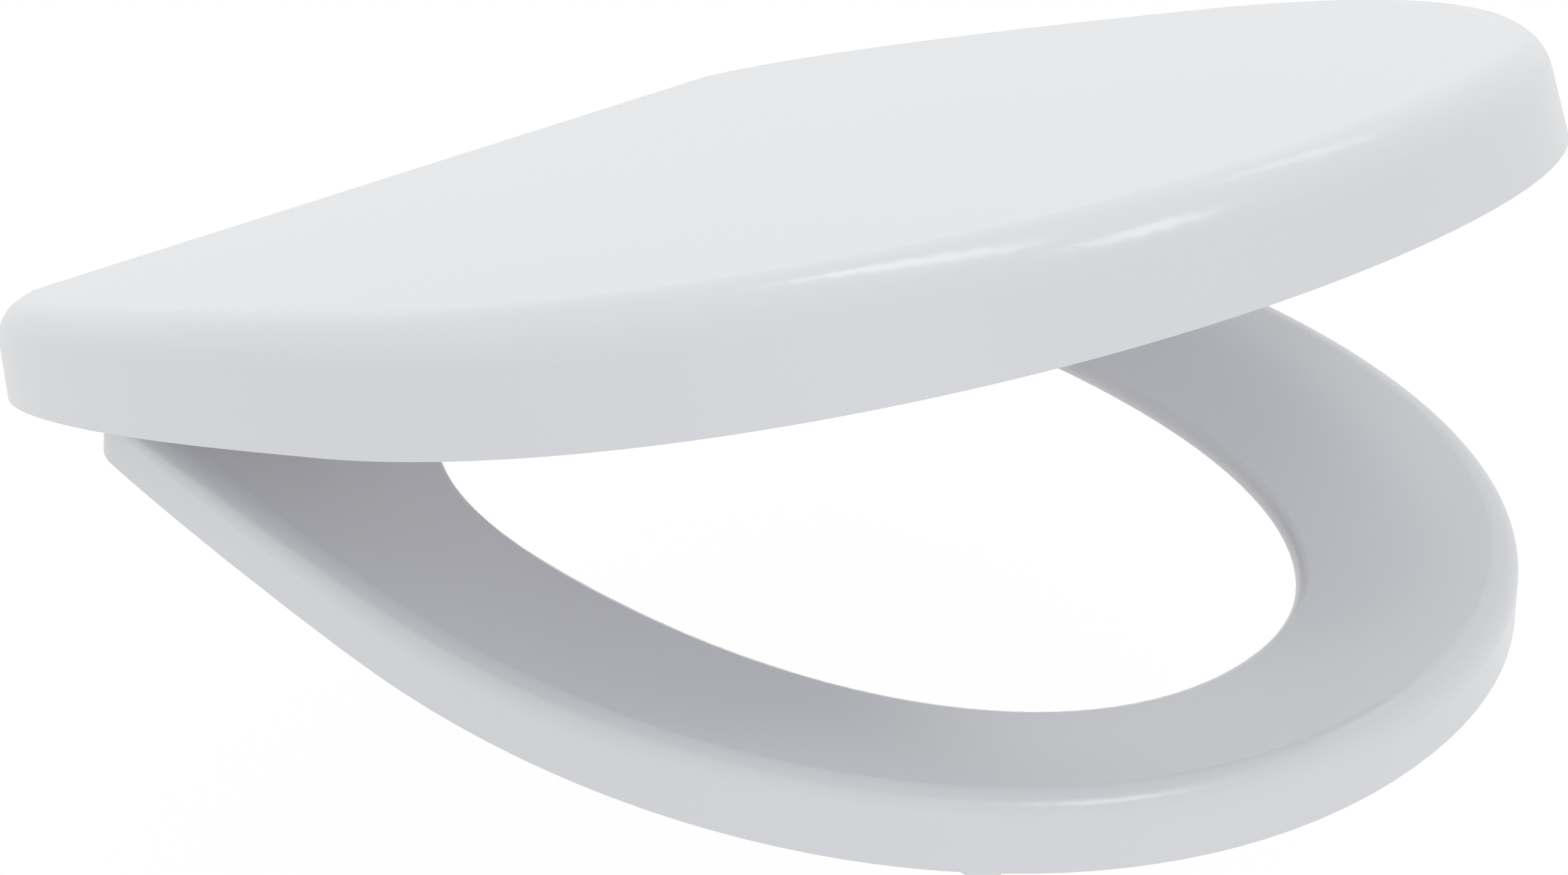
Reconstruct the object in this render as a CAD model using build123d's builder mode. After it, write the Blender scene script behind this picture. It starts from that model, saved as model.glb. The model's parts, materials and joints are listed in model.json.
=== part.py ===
from build123d import *
from math import cos, radians, sin, tan
import os

# A toilet seat: a wrap-over lid and a seat ring on two damped hinges, with their bowl fixings.
# Sizes are in millimetres. X runs across the seat, the front is -Y and +Z is up.
# The origin lies on the bowl's deck, midway between its two fixing holes.
# Outlines of the ring, the lid and all that rides on them are given from the hinge line,
# in a frame of their own whose y runs rearwards and whose z runs up from the closed seat.

# Hinge line and stance
HOLE_SPACING = 155.0
AXIS_BEHIND_HOLES = 20.0
AXIS_ABOVE_DECK = 19.0
LID_RAISED = 19.2  # degrees from closed to the lid as it stands

# Lid
LID_HALF_WIDTH = 185.0
LID_WIDEST = -222.9
LID_FRONT = -429.6
LID_FULLNESS = 0.590  # pull of the front curve's handles, 0.552 is an ellipse
LID_SIDE_PULL = 29.0
LID_REAR = -10.0
LID_REAR_NARROWING = 21.5  # how much less the half width is at the rear cut
LID_REAR_TURN = 45.0  # degrees that the side has turned in where the rear cut meets it
LID_REAR_PULL = 41.0
LID_RIM = -14.1  # lowest line of the side walls
LID_RIM_ARCH = 2.8  # rise of the rim towards front and rear
LID_TOP = 18.9
LID_CROWN = 1.9  # fall of the top towards front and rear
LID_DRAFT = 5.8  # degrees
LID_EDGE_RADIUS = 13.0
LID_REAR_EDGE_RADIUS = 1.5
LID_WALL = 4.0
LID_LIP_THICKNESS = 4.5
LID_LIP_DEPTH = 3.2
LID_CORNER_RETURN = 14.0  # closed part of the rear between the side wall and the hinge opening

# Seat ring, which fits inside the lid's walls
RING_SIDE_GAP = 11.0
RING_FRONT_GAP = 1.0
RING_WIDEST = -215.1
RING_FULLNESS = 0.607
RING_SIDE_PULL = 36.0
RING_REAR = -49.1
RING_REAR_NARROWING = 10.0
RING_REAR_TURN = 8.6
RING_REAR_PULL = 36.0
RING_CORNER_RADIUS = 24.5
RING_HEIGHT = 18.3
RING_DRAFT = 5.4
RING_EDGE_RADIUS = 6.4
RING_LAND = 0.8  # level ridge between the rounded edge and the dished top
RING_RIDGE_RADIUS = 3.0  # between the ridge and the dished top
RING_WALL = 5.0
RING_SKIN = 4.0
RING_RIBS = 14
RING_RIB_THICKNESS = 3.0

# Hole in the ring
RING_SIDE_BAND = 67.0  # from the ring's outline to the hole
RING_FRONT_BAND = 55.2
RING_REAR_BAND = 40.9
HOLE_WIDEST = -205.0
HOLE_FULLNESS = 0.617
HOLE_DIP = 14.4  # from the ring's ridge down to the hole's edge
HOLE_EDGE_RADIUS = 4.2
HOLE_MARGIN = 20.0  # solid band round the hole, with no hollow under it

# Buffers
RING_BUFFER_HEIGHT = 8.3
RING_BUFFER_LENGTH = 30.0
RING_BUFFER_WIDTH = 15.0
RING_BUFFER_TAPER = 6.0  # degrees
RING_BUFFER_EDGE_RADIUS = 1.5
RING_BUFFER_PLUG_RADIUS = 4.0
RING_BUFFER_PLUG_DEPTH = 6.0
RING_BOSS_RADIUS = 10.0
LID_BUFFER_RADIUS = 6.5
LID_BUFFER_EDGE_RADIUS = 1.2
LID_BUFFER_PLUG_RADIUS = 2.5
LID_BUFFER_PLUG_DEPTH = 2.6
LID_BOSS_RADIUS = 8.0
LID_BOSS_DEPTH = 1.6
LANDING_GAP = 0.3
FRONT_BUFFER_SHARE = 0.42  # place of the front buffers along the ring's front curve
REAR_BUFFER_SHARE = 0.30  # place of the lid's rear buffers along the curve behind that
REAR_BUFFER_INSET = 24.0  # place of the ring's rear buffers, from its rear corners

# Hinge barrels
BARREL_RADIUS = 9.0
BARREL_BORE_RADIUS = 6.6
BARREL_LENGTH = 46.0
BARREL_END_WALL = 3.0
LUG_RIB_THICKNESS = 3.0
LUG_RIB_LENGTH = 62.0
LUG_RIB_DEPTH = 7.0
LID_LUG_REACH = 30.0
RING_LUG_ROOT = 9.0
RING_LUG_HEIGHT = 13.0
SIDE_GAP = 0.5  # between an arm and the barrels beside it

# Hinge arms, pins and what turns on them
ARM_WIDTH = 20.0
ARM_EYE_RADIUS = 9.0
ARM_FOOT_LENGTH = 27.0
ARM_FOOT_HEIGHT = 9.0
ARM_TOE_RADIUS = 3.0
ARM_CHAMFER = 0.6
PIN_RADIUS = 4.0
PIN_FLAT = 1.0
PIN_CHAMFER = 0.6
RUNNING_CLEARANCE = 0.05
BUSH_LENGTH = 16.0
DAMPER_END_GAP = 3.0  # between the damper's end and the bottom of its bore
DAMPER_NECK = 6.0
DAMPER_WALL = 1.2
DAMPER_PLUG_LENGTH = 3.0
DAMPER_END_PLAY = 1.0
ROTOR_HUB_RADIUS = 4.8
ROTOR_VANE_WIDTH = 2.4
ROTOR_TIP_CLEARANCE = 0.1

# Bowl fixings, from the deck up and down
GASKET_THICKNESS = 1.5
PLATE_RADIUS = 16.5
PLATE_THICKNESS = 2.0
PLATE_SLOT_LENGTH = 15.0
ROSETTE_RADIUS = 19.0
ROSETTE_HEIGHT = 3.0
ROSETTE_SHEET = 0.8
STUD_RADIUS = 6.0
STUD_HEIGHT = 9.6
STUD_NECK_RADIUS = 5.0
STUD_NECK_HEIGHT = 5.2
STUD_CHAMFER = 0.8
STUD_CLEARANCE = 0.05
GRUB_RADIUS = 2.5
GRUB_LENGTH = 7.5
GRUB_SOCKET = 1.25
GRUB_SOCKET_DEPTH = 2.5
GRUB_CHAMFER = 1.0
ROD_RADIUS = 4.0
ROD_GRIP = 7.5
ROD_BELOW_DECK = 65.0
ROD_TIP_RADIUS = 3.3  # plain end that leads the rod into the bowl's hole
ROD_TIP_LENGTH = 10.0
ROD_CHAMFER = 0.8
ROD_CLEARANCE = 0.3
CONE_TOP = -12.0
CONE_BOTTOM = -30.0
CONE_TOP_RADIUS = 6.5
CONE_BOTTOM_RADIUS = 13.0
CONE_FLANGE = 4.0
WASHER_RADIUS = 13.0
WASHER_THICKNESS = 2.0
NUT_RADIUS = 9.0
NUT_HEIGHT = 13.0
NUT_WING_SPAN = 48.0
NUT_WING_THICKNESS = 5.0
NUT_WING_HEIGHT = 16.0

PAST = 10.0  # how far a cutting tool runs past the material
LEVEL = 0.01  # edges within this height of each other count as level
SIDES = {"left": -1, "right": 1}

ring_frame = Plane((0, AXIS_BEHIND_HOLES, AXIS_ABOVE_DECK))
lid_frame = ring_frame.rotated((-LID_RAISED, 0, 0))
deck_in_frame = -AXIS_ABOVE_DECK
holes_in_frame = -AXIS_BEHIND_HOLES
arm_x = HOLE_SPACING / 2
lid_rear_half = LID_HALF_WIDTH - LID_REAR_NARROWING
ring_half = LID_HALF_WIDTH - LID_WALL - RING_SIDE_GAP
ring_front = LID_FRONT + LID_WALL + RING_FRONT_GAP
ring_rear_half = ring_half - RING_REAR_NARROWING
hole_half = ring_half - RING_SIDE_BAND
hole_front = ring_front + RING_FRONT_BAND
hole_rear = RING_REAR - RING_REAR_BAND
ring_bottom = deck_in_frame + RING_BUFFER_HEIGHT
ring_top = ring_bottom + RING_HEIGHT
hole_edge = ring_top - HOLE_DIP
ring_lean = RING_HEIGHT * tan(radians(RING_DRAFT))
ridge_inset = ring_lean + RING_EDGE_RADIUS + RING_LAND / 2
gasket_top = GASKET_THICKNESS
plate_top = gasket_top + PLATE_THICKNESS
rosette_top = gasket_top + ROSETTE_HEIGHT

os.makedirs("parts", exist_ok=True)


def save(part, name):
    """Labels a finished piece and writes it."""
    part.label = name
    export_step(part, f"parts/{name}.step")
    box = part.bounding_box()
    print(name, len(part.solids()), round(part.volume), box.min, box.max)


def side_plane(frame, x):
    """Plane across the hinge line at x: its x runs rearwards and its y runs up."""
    return Plane(frame.from_local_coords((x, 0, 0)), x_dir=frame.y_dir, z_dir=frame.x_dir)


def upright(frame):
    """Line that points up in a frame, for picking faces and edges."""
    return Axis(frame.origin, frame.z_dir)


def rearward(frame):
    """Line that points to the rear in a frame."""
    return Axis(frame.origin, frame.y_dir)


def seat_outline(plane, half, widest, front, fullness, side_pull, rear_half, rear, turn, rear_pull):
    """D-shaped sketch: full front, long side curves that turn in, and a straight rear."""
    shoulder = (rear_half + rear_pull * sin(radians(turn)), rear - rear_pull * cos(radians(turn)))
    with BuildSketch(plane) as outline:
        with BuildLine():
            Bezier(
                (0, front),
                (fullness * half, front),
                (half, widest + fullness * (front - widest)),
                (half, widest),
            )
            Bezier((half, widest), (half, widest + side_pull), shoulder, (rear_half, rear))
            mirror(about=Plane.YZ)
            Line((-rear_half, rear), (rear_half, rear))
        make_face()
    return outline.sketch


def lid_outline(plane, inset, rear):
    """The lid's outline, drawn in by inset at its front and sides."""
    return seat_outline(
        plane,
        LID_HALF_WIDTH - inset,
        LID_WIDEST,
        LID_FRONT + inset,
        LID_FULLNESS,
        LID_SIDE_PULL,
        lid_rear_half - inset / cos(radians(LID_REAR_TURN)),
        rear,
        LID_REAR_TURN,
        LID_REAR_PULL,
    )


def ring_outline(plane, inset):
    """The ring's outline, drawn in by inset all round."""
    return seat_outline(
        plane,
        ring_half - inset,
        RING_WIDEST,
        ring_front + inset,
        RING_FULLNESS,
        RING_SIDE_PULL,
        ring_rear_half - inset,
        RING_REAR - inset,
        RING_REAR_TURN,
        RING_REAR_PULL,
    )


def ring_curves(inset):
    """Handles of the ring's right half, drawn in by inset: its front, and one round its rear corner."""
    half = ring_half - inset
    front = ring_front + inset
    rear = RING_REAR - inset
    corner = (ring_rear_half - inset, rear)
    shoulder_x = corner[0] + RING_REAR_PULL * sin(radians(RING_REAR_TURN))
    shoulder_y = rear - RING_REAR_PULL * cos(radians(RING_REAR_TURN))
    ahead = [
        (0, front),
        (RING_FULLNESS * half, front),
        (half, RING_WIDEST + RING_FULLNESS * (front - RING_WIDEST)),
        (half, RING_WIDEST),
    ]
    behind = [
        (half, RING_WIDEST),
        (half, RING_WIDEST + RING_SIDE_PULL),
        (shoulder_x, shoulder_y),
        corner,
        corner,
        (corner[0] / 2, rear),
        (0, rear),
    ]
    return ahead, behind


def dish_outline(plane):
    """Where the ring's ridge ends and its dished top starts."""
    ahead, behind = ring_curves(ridge_inset + RING_LAND / 2)
    with BuildSketch(plane) as ridge:
        with BuildLine():
            Bezier(*ahead)
            Bezier(*behind)
            mirror(about=Plane.YZ)
        make_face()
    return ridge.sketch


def hole_outline(plane, outset):
    """The hole's egg shape, widened by outset."""
    half = hole_half + outset
    front = hole_front - outset
    rear = hole_rear + outset
    with BuildSketch(plane) as egg:
        with BuildLine():
            Bezier(
                (0, front),
                (HOLE_FULLNESS * half, front),
                (half, HOLE_WIDEST + HOLE_FULLNESS * (front - HOLE_WIDEST)),
                (half, HOLE_WIDEST),
            )
            Bezier(
                (half, HOLE_WIDEST),
                (half, HOLE_WIDEST + HOLE_FULLNESS * (rear - HOLE_WIDEST)),
                (HOLE_FULLNESS * half, rear),
                (0, rear),
            )
            mirror(about=Plane.YZ)
        make_face()
    return egg.sketch


def dish(drop):
    """Funnel between the ridge and the hole's edge, lowered by drop."""
    edge = hole_outline(ring_frame.offset(hole_edge - drop), 0)
    ridge = dish_outline(ring_frame.offset(ring_top - drop))
    with BuildPart() as funnel:
        loft([edge, ridge], ruled=True)
    return funnel.part


def drawn_in(height, draft):
    """How far a wall with this draft has leaned in at a height."""
    return height * tan(radians(draft))


def lid_form(inset):
    """The lid as a full body, drawn in by inset: the outside at nothing, the inside at the wall."""
    middle = (LID_REAR + LID_FRONT) / 2
    reach = (LID_REAR - LID_FRONT) / 2 + PAST
    stretch = (reach / (reach - PAST)) ** 2
    rim = LID_RIM - (PAST if inset else 0)
    top = LID_TOP - inset
    rear = LID_REAR - (LID_LIP_THICKNESS if inset else 0)
    low = rim - PAST / 2
    high = top + PAST / 2
    up = upright(lid_frame)
    back = rearward(lid_frame)
    foot = lid_outline(lid_frame.offset(low), inset + drawn_in(low - LID_RIM, LID_DRAFT), rear)
    head = lid_outline(lid_frame.offset(high), inset + drawn_in(high - LID_RIM, LID_DRAFT), rear)
    with BuildPart() as form:
        loft([foot, head], ruled=True)
        with BuildSketch(side_plane(lid_frame, 0)):
            with BuildLine():
                rim_end = rim + LID_RIM_ARCH * stretch
                top_end = top - LID_CROWN * stretch
                ThreePointArc((middle - reach, rim_end), (middle, rim), (middle + reach, rim_end))
                Line((middle + reach, rim_end), (middle + reach, top_end))
                ThreePointArc((middle + reach, top_end), (middle, top), (middle - reach, top_end))
                Line((middle - reach, top_end), (middle - reach, rim_end))
            make_face()
        extrude(amount=LID_HALF_WIDTH + PAST, both=True, mode=Mode.INTERSECT)
        top_face = form.faces().sort_by(up)[-1]
        fillet(top_face.edges().sort_by(back)[:-1], radius=LID_EDGE_RADIUS - inset)
    return form.part


def loop_at(part, height):
    """The longest level edge that a part has at a height in the ring's frame."""
    level = part.edges().filter_by_position(upright(ring_frame), height - LEVEL, height + LEVEL)
    return level.sort_by(SortBy.LENGTH)[-1]


def ring_body():
    """The ring's full outside, with its rounded rear corners and top edge."""
    up = upright(ring_frame)
    foot = ring_outline(ring_frame.offset(ring_bottom), 0)
    head = ring_outline(ring_frame.offset(ring_top), ring_lean)
    with BuildPart() as body:
        loft([foot, head], ruled=True)
        walls = body.edges().filter_by(lambda edge: abs((edge @ 0 - edge @ 1).dot(ring_frame.z_dir)) > 1)
        fillet(walls.sort_by(rearward(ring_frame))[-2:], radius=RING_CORNER_RADIUS)
        fillet(body.faces().sort_by(up)[-1].edges(), radius=RING_EDGE_RADIUS)
    return body.part


def ring_hollow():
    """The space under the ring's skin, with its ribs and buffer bosses left standing."""
    roof = ring_top - RING_SKIN
    ceiling = roof - ring_bottom + PAST
    middle = (RING_WIDEST + HOLE_WIDEST) / 2
    outer = ring_outline(ring_frame.offset(roof), RING_WALL + ring_lean)
    inner = hole_outline(ring_frame.offset(roof), HOLE_MARGIN)
    with BuildPart() as space:
        extrude(outer, amount=-ceiling)
        extrude(inner, amount=-ceiling, mode=Mode.SUBTRACT)
        add(dish(RING_SKIN), mode=Mode.SUBTRACT)
        for rib in range(RING_RIBS):
            heading = 360 / RING_RIBS * (rib + 0.5)
            with BuildSketch(ring_frame.offset(roof)):
                with Locations((0, middle)):
                    with PolarLocations(ring_half, 1, start_angle=heading):
                        Rectangle(2 * ring_half, RING_RIB_THICKNESS)
            extrude(amount=-ceiling, mode=Mode.SUBTRACT)
        with BuildSketch(ring_frame.offset(roof)):
            with Locations(*ring_buffer_places.values()):
                Circle(RING_BOSS_RADIUS)
        extrude(amount=-ceiling, mode=Mode.SUBTRACT)
    return space.part


def place_on(points, share):
    """Point at a share of the length of the curve with these handles."""
    return Bezier(*points) @ share


# Places of the buffers, from the hinge line. The lid's land on the ridge, and the ring's
# stand under bosses further in.
front_ridge, rear_ridge = ring_curves(ridge_inset)
front_inside = ring_curves(ridge_inset + RING_BOSS_RADIUS)[0]
front_lid_buffer = place_on(front_ridge, FRONT_BUFFER_SHARE)
rear_lid_buffer = place_on(rear_ridge, REAR_BUFFER_SHARE)
front_ring_buffer = place_on(front_inside, FRONT_BUFFER_SHARE)
rear_buffer_x = ring_rear_half - REAR_BUFFER_INSET
rear_buffer_y = RING_REAR - REAR_BUFFER_INSET
ring_buffer_places = {}
lid_buffer_places = {}
for side_name, side in SIDES.items():
    ring_buffer_places[f"front_{side_name}"] = (side * front_ring_buffer.X, front_ring_buffer.Y)
    ring_buffer_places[f"rear_{side_name}"] = (side * rear_buffer_x, rear_buffer_y)
    lid_buffer_places[f"front_{side_name}"] = (side * front_lid_buffer.X, front_lid_buffer.Y)
    lid_buffer_places[f"rear_{side_name}"] = (side * rear_lid_buffer.X, rear_lid_buffer.Y)

# Where the barrels lie along the hinge line, as distances from the seat's middle
inner_mouth = arm_x - ARM_WIDTH / 2 - SIDE_GAP
outer_mouth = arm_x + ARM_WIDTH / 2 + SIDE_GAP
lid_barrel_middle = inner_mouth - BARREL_LENGTH / 2
ring_barrel_middle = outer_mouth + BARREL_LENGTH / 2
bore_depth = BARREL_LENGTH - BARREL_END_WALL

# Lid: a hollow shell open below, with a lip across its rear, bosses and two lugs with barrels
lid_boss_face = LID_TOP - LID_CROWN - LID_WALL - LID_BOSS_DEPTH
lip_bottom = LID_TOP - LID_CROWN - LID_WALL - LID_LIP_DEPTH
lid_outside = lid_form(0)
lid_inside = lid_form(LID_WALL)
with BuildPart() as lid:
    add(lid_outside)
    rear_face = lid.faces().sort_by(rearward(lid_frame))[-1]
    rear_top = rear_face.edges().sort_by(upright(lid_frame))[-1]
    fillet(rear_top, radius=LID_REAR_EDGE_RADIUS)
    add(lid_inside, mode=Mode.SUBTRACT)
    with BuildSketch(lid_frame.offset(lip_bottom)):
        with Locations((0, LID_REAR)):
            Rectangle(2 * (lid_rear_half - LID_CORNER_RETURN), 2 * LID_LIP_THICKNESS)
    extrude(amount=-(LID_TOP - LID_RIM + PAST), mode=Mode.SUBTRACT)
    plate_inside = LID_TOP - LID_CROWN - LID_WALL
    for side in SIDES.values():
        with BuildSketch(side_plane(lid_frame, side * lid_barrel_middle)):
            Circle(BARREL_RADIUS)
            with Locations((LID_REAR - LID_LIP_THICKNESS - LID_LUG_REACH / 2, plate_inside)):
                Rectangle(LID_LUG_REACH, LID_WALL)
            make_hull()
        extrude(amount=BARREL_LENGTH / 2, both=True)
        rib_start = LID_REAR - LID_LIP_THICKNESS - LID_LUG_REACH / 2
        for rib_x in (-BARREL_LENGTH / 3, BARREL_LENGTH / 3):
            with BuildSketch(side_plane(lid_frame, side * lid_barrel_middle + rib_x)):
                with BuildLine():
                    Polyline(
                        (rib_start, plate_inside + LID_WALL / 2),
                        (rib_start - LUG_RIB_LENGTH, plate_inside + LID_WALL / 2),
                        (rib_start, plate_inside - LUG_RIB_DEPTH),
                        close=True,
                    )
                make_face()
            extrude(amount=LUG_RIB_THICKNESS / 2, both=True)
        with BuildSketch(side_plane(lid_frame, side * inner_mouth)):
            Circle(BARREL_BORE_RADIUS)
        extrude(amount=-side * bore_depth, mode=Mode.SUBTRACT)
    with BuildSketch(lid_frame.offset(lid_boss_face)):
        with Locations(*lid_buffer_places.values()):
            Circle(LID_BOSS_RADIUS)
    extrude(amount=LID_BOSS_DEPTH + LID_WALL / 2)
    with BuildSketch(lid_frame.offset(lid_boss_face)):
        with Locations(*lid_buffer_places.values()):
            Circle(LID_BUFFER_PLUG_RADIUS)
    extrude(amount=LID_BUFFER_PLUG_DEPTH, mode=Mode.SUBTRACT)
save(lid.part, "lid")

# Seat ring: dished on top, ribbed underneath, with two lugs and their barrels behind it
ring_outside = ring_body()
hollow = ring_hollow()
hole = hole_outline(ring_frame.offset(ring_bottom - PAST), 0)
dished = dish(0)
with BuildPart() as seat_ring:
    add(ring_outside)
    extrude(hole, amount=RING_HEIGHT + 2 * PAST, mode=Mode.SUBTRACT)
    add(dished, mode=Mode.SUBTRACT)
    fillet(loop_at(seat_ring, ring_top), radius=RING_RIDGE_RADIUS)
    fillet(loop_at(seat_ring, hole_edge), radius=HOLE_EDGE_RADIUS)
    add(hollow, mode=Mode.SUBTRACT)
    for side in SIDES.values():
        with BuildSketch(side_plane(ring_frame, side * ring_barrel_middle)):
            Circle(BARREL_RADIUS)
            with Locations((RING_REAR - RING_LUG_ROOT / 2, (ring_bottom + ring_top) / 2)):
                Rectangle(RING_LUG_ROOT, RING_LUG_HEIGHT)
            make_hull()
        extrude(amount=BARREL_LENGTH / 2, both=True)
        with BuildSketch(side_plane(ring_frame, side * outer_mouth)):
            Circle(BARREL_BORE_RADIUS)
        extrude(amount=side * bore_depth, mode=Mode.SUBTRACT)
    with BuildSketch(ring_frame.offset(ring_bottom)):
        with Locations(*ring_buffer_places.values()):
            Circle(RING_BUFFER_PLUG_RADIUS)
    extrude(amount=RING_BUFFER_PLUG_DEPTH, mode=Mode.SUBTRACT)
save(seat_ring.part, "seat_ring")

# Buffers
for place, spot in ring_buffer_places.items():
    with BuildPart() as ring_buffer:
        with BuildSketch(ring_frame.offset(ring_bottom)):
            with Locations(spot):
                SlotOverall(RING_BUFFER_LENGTH, RING_BUFFER_WIDTH, rotation=90)
        extrude(amount=-RING_BUFFER_HEIGHT, taper=RING_BUFFER_TAPER)
        fillet(ring_buffer.faces().sort_by(Axis.Z)[0].edges(), radius=RING_BUFFER_EDGE_RADIUS)
        with BuildSketch(ring_frame.offset(ring_bottom)):
            with Locations(spot):
                Circle(RING_BUFFER_PLUG_RADIUS)
        extrude(amount=RING_BUFFER_PLUG_DEPTH)
    save(ring_buffer.part, f"ring_buffer_{place}")

lid_buffer_height = lid_boss_face - ring_top - LANDING_GAP
for place, spot in lid_buffer_places.items():
    with BuildPart() as lid_buffer:
        with BuildSketch(lid_frame.offset(lid_boss_face)):
            with Locations(spot):
                Circle(LID_BUFFER_RADIUS)
        extrude(amount=-lid_buffer_height)
        fillet(lid_buffer.faces().sort_by(upright(lid_frame))[0].edges(), radius=LID_BUFFER_EDGE_RADIUS)
        with BuildSketch(lid_frame.offset(lid_boss_face)):
            with Locations(spot):
                Circle(LID_BUFFER_PLUG_RADIUS)
        extrude(amount=LID_BUFFER_PLUG_DEPTH)
    save(lid_buffer.part, f"lid_buffer_{place}")

# What turns in the barrels: a damper or a plain bush at each mouth.
# The lid's damper is in its left barrel and the ring's damper in its right one.
damper_cavity_radius = BARREL_BORE_RADIUS - DAMPER_WALL
damper_length = bore_depth - DAMPER_END_GAP
cavity_end = damper_length - DAMPER_PLUG_LENGTH
rotor_start = DAMPER_NECK + DAMPER_END_PLAY
rotor_length = cavity_end - rotor_start - DAMPER_END_PLAY
dampers = {"lid": (lid_frame, -inner_mouth, 1), "ring": (ring_frame, outer_mouth, 1)}
bushes = {"lid": (lid_frame, inner_mouth, -1), "ring": (ring_frame, -outer_mouth, -1)}
for name, (frame, mouth, way) in dampers.items():
    with BuildPart() as housing:
        with BuildSketch(side_plane(frame, mouth)):
            Circle(BARREL_BORE_RADIUS)
        extrude(amount=way * damper_length)
        with BuildSketch(side_plane(frame, mouth)):
            Circle(PIN_RADIUS + RUNNING_CLEARANCE)
        extrude(amount=way * DAMPER_NECK, mode=Mode.SUBTRACT)
        with BuildSketch(side_plane(frame, mouth + way * DAMPER_NECK)):
            Circle(damper_cavity_radius)
        extrude(amount=way * (damper_length - DAMPER_NECK), mode=Mode.SUBTRACT)
    save(housing.part, f"{name}_damper_housing")

    with BuildPart() as end_plug:
        with BuildSketch(side_plane(frame, mouth + way * cavity_end)):
            Circle(damper_cavity_radius)
        extrude(amount=way * DAMPER_PLUG_LENGTH)
    save(end_plug.part, f"{name}_damper_plug")

    with BuildPart() as rotor:
        with BuildSketch(side_plane(ring_frame, mouth + way * rotor_start)):
            Circle(damper_cavity_radius - ROTOR_TIP_CLEARANCE)
            Rectangle(2 * damper_cavity_radius, ROTOR_VANE_WIDTH, mode=Mode.INTERSECT)
            Circle(ROTOR_HUB_RADIUS)
            Circle(PIN_RADIUS, mode=Mode.SUBTRACT)
        extrude(amount=way * rotor_length)
    save(rotor.part, f"{name}_damper_rotor")

for name, (frame, mouth, way) in bushes.items():
    with BuildPart() as bush:
        with BuildSketch(side_plane(frame, mouth)):
            Circle(BARREL_BORE_RADIUS)
            Circle(PIN_RADIUS + RUNNING_CLEARANCE, mode=Mode.SUBTRACT)
        extrude(amount=way * BUSH_LENGTH)
    save(bush.part, f"{name}_bush")

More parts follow.
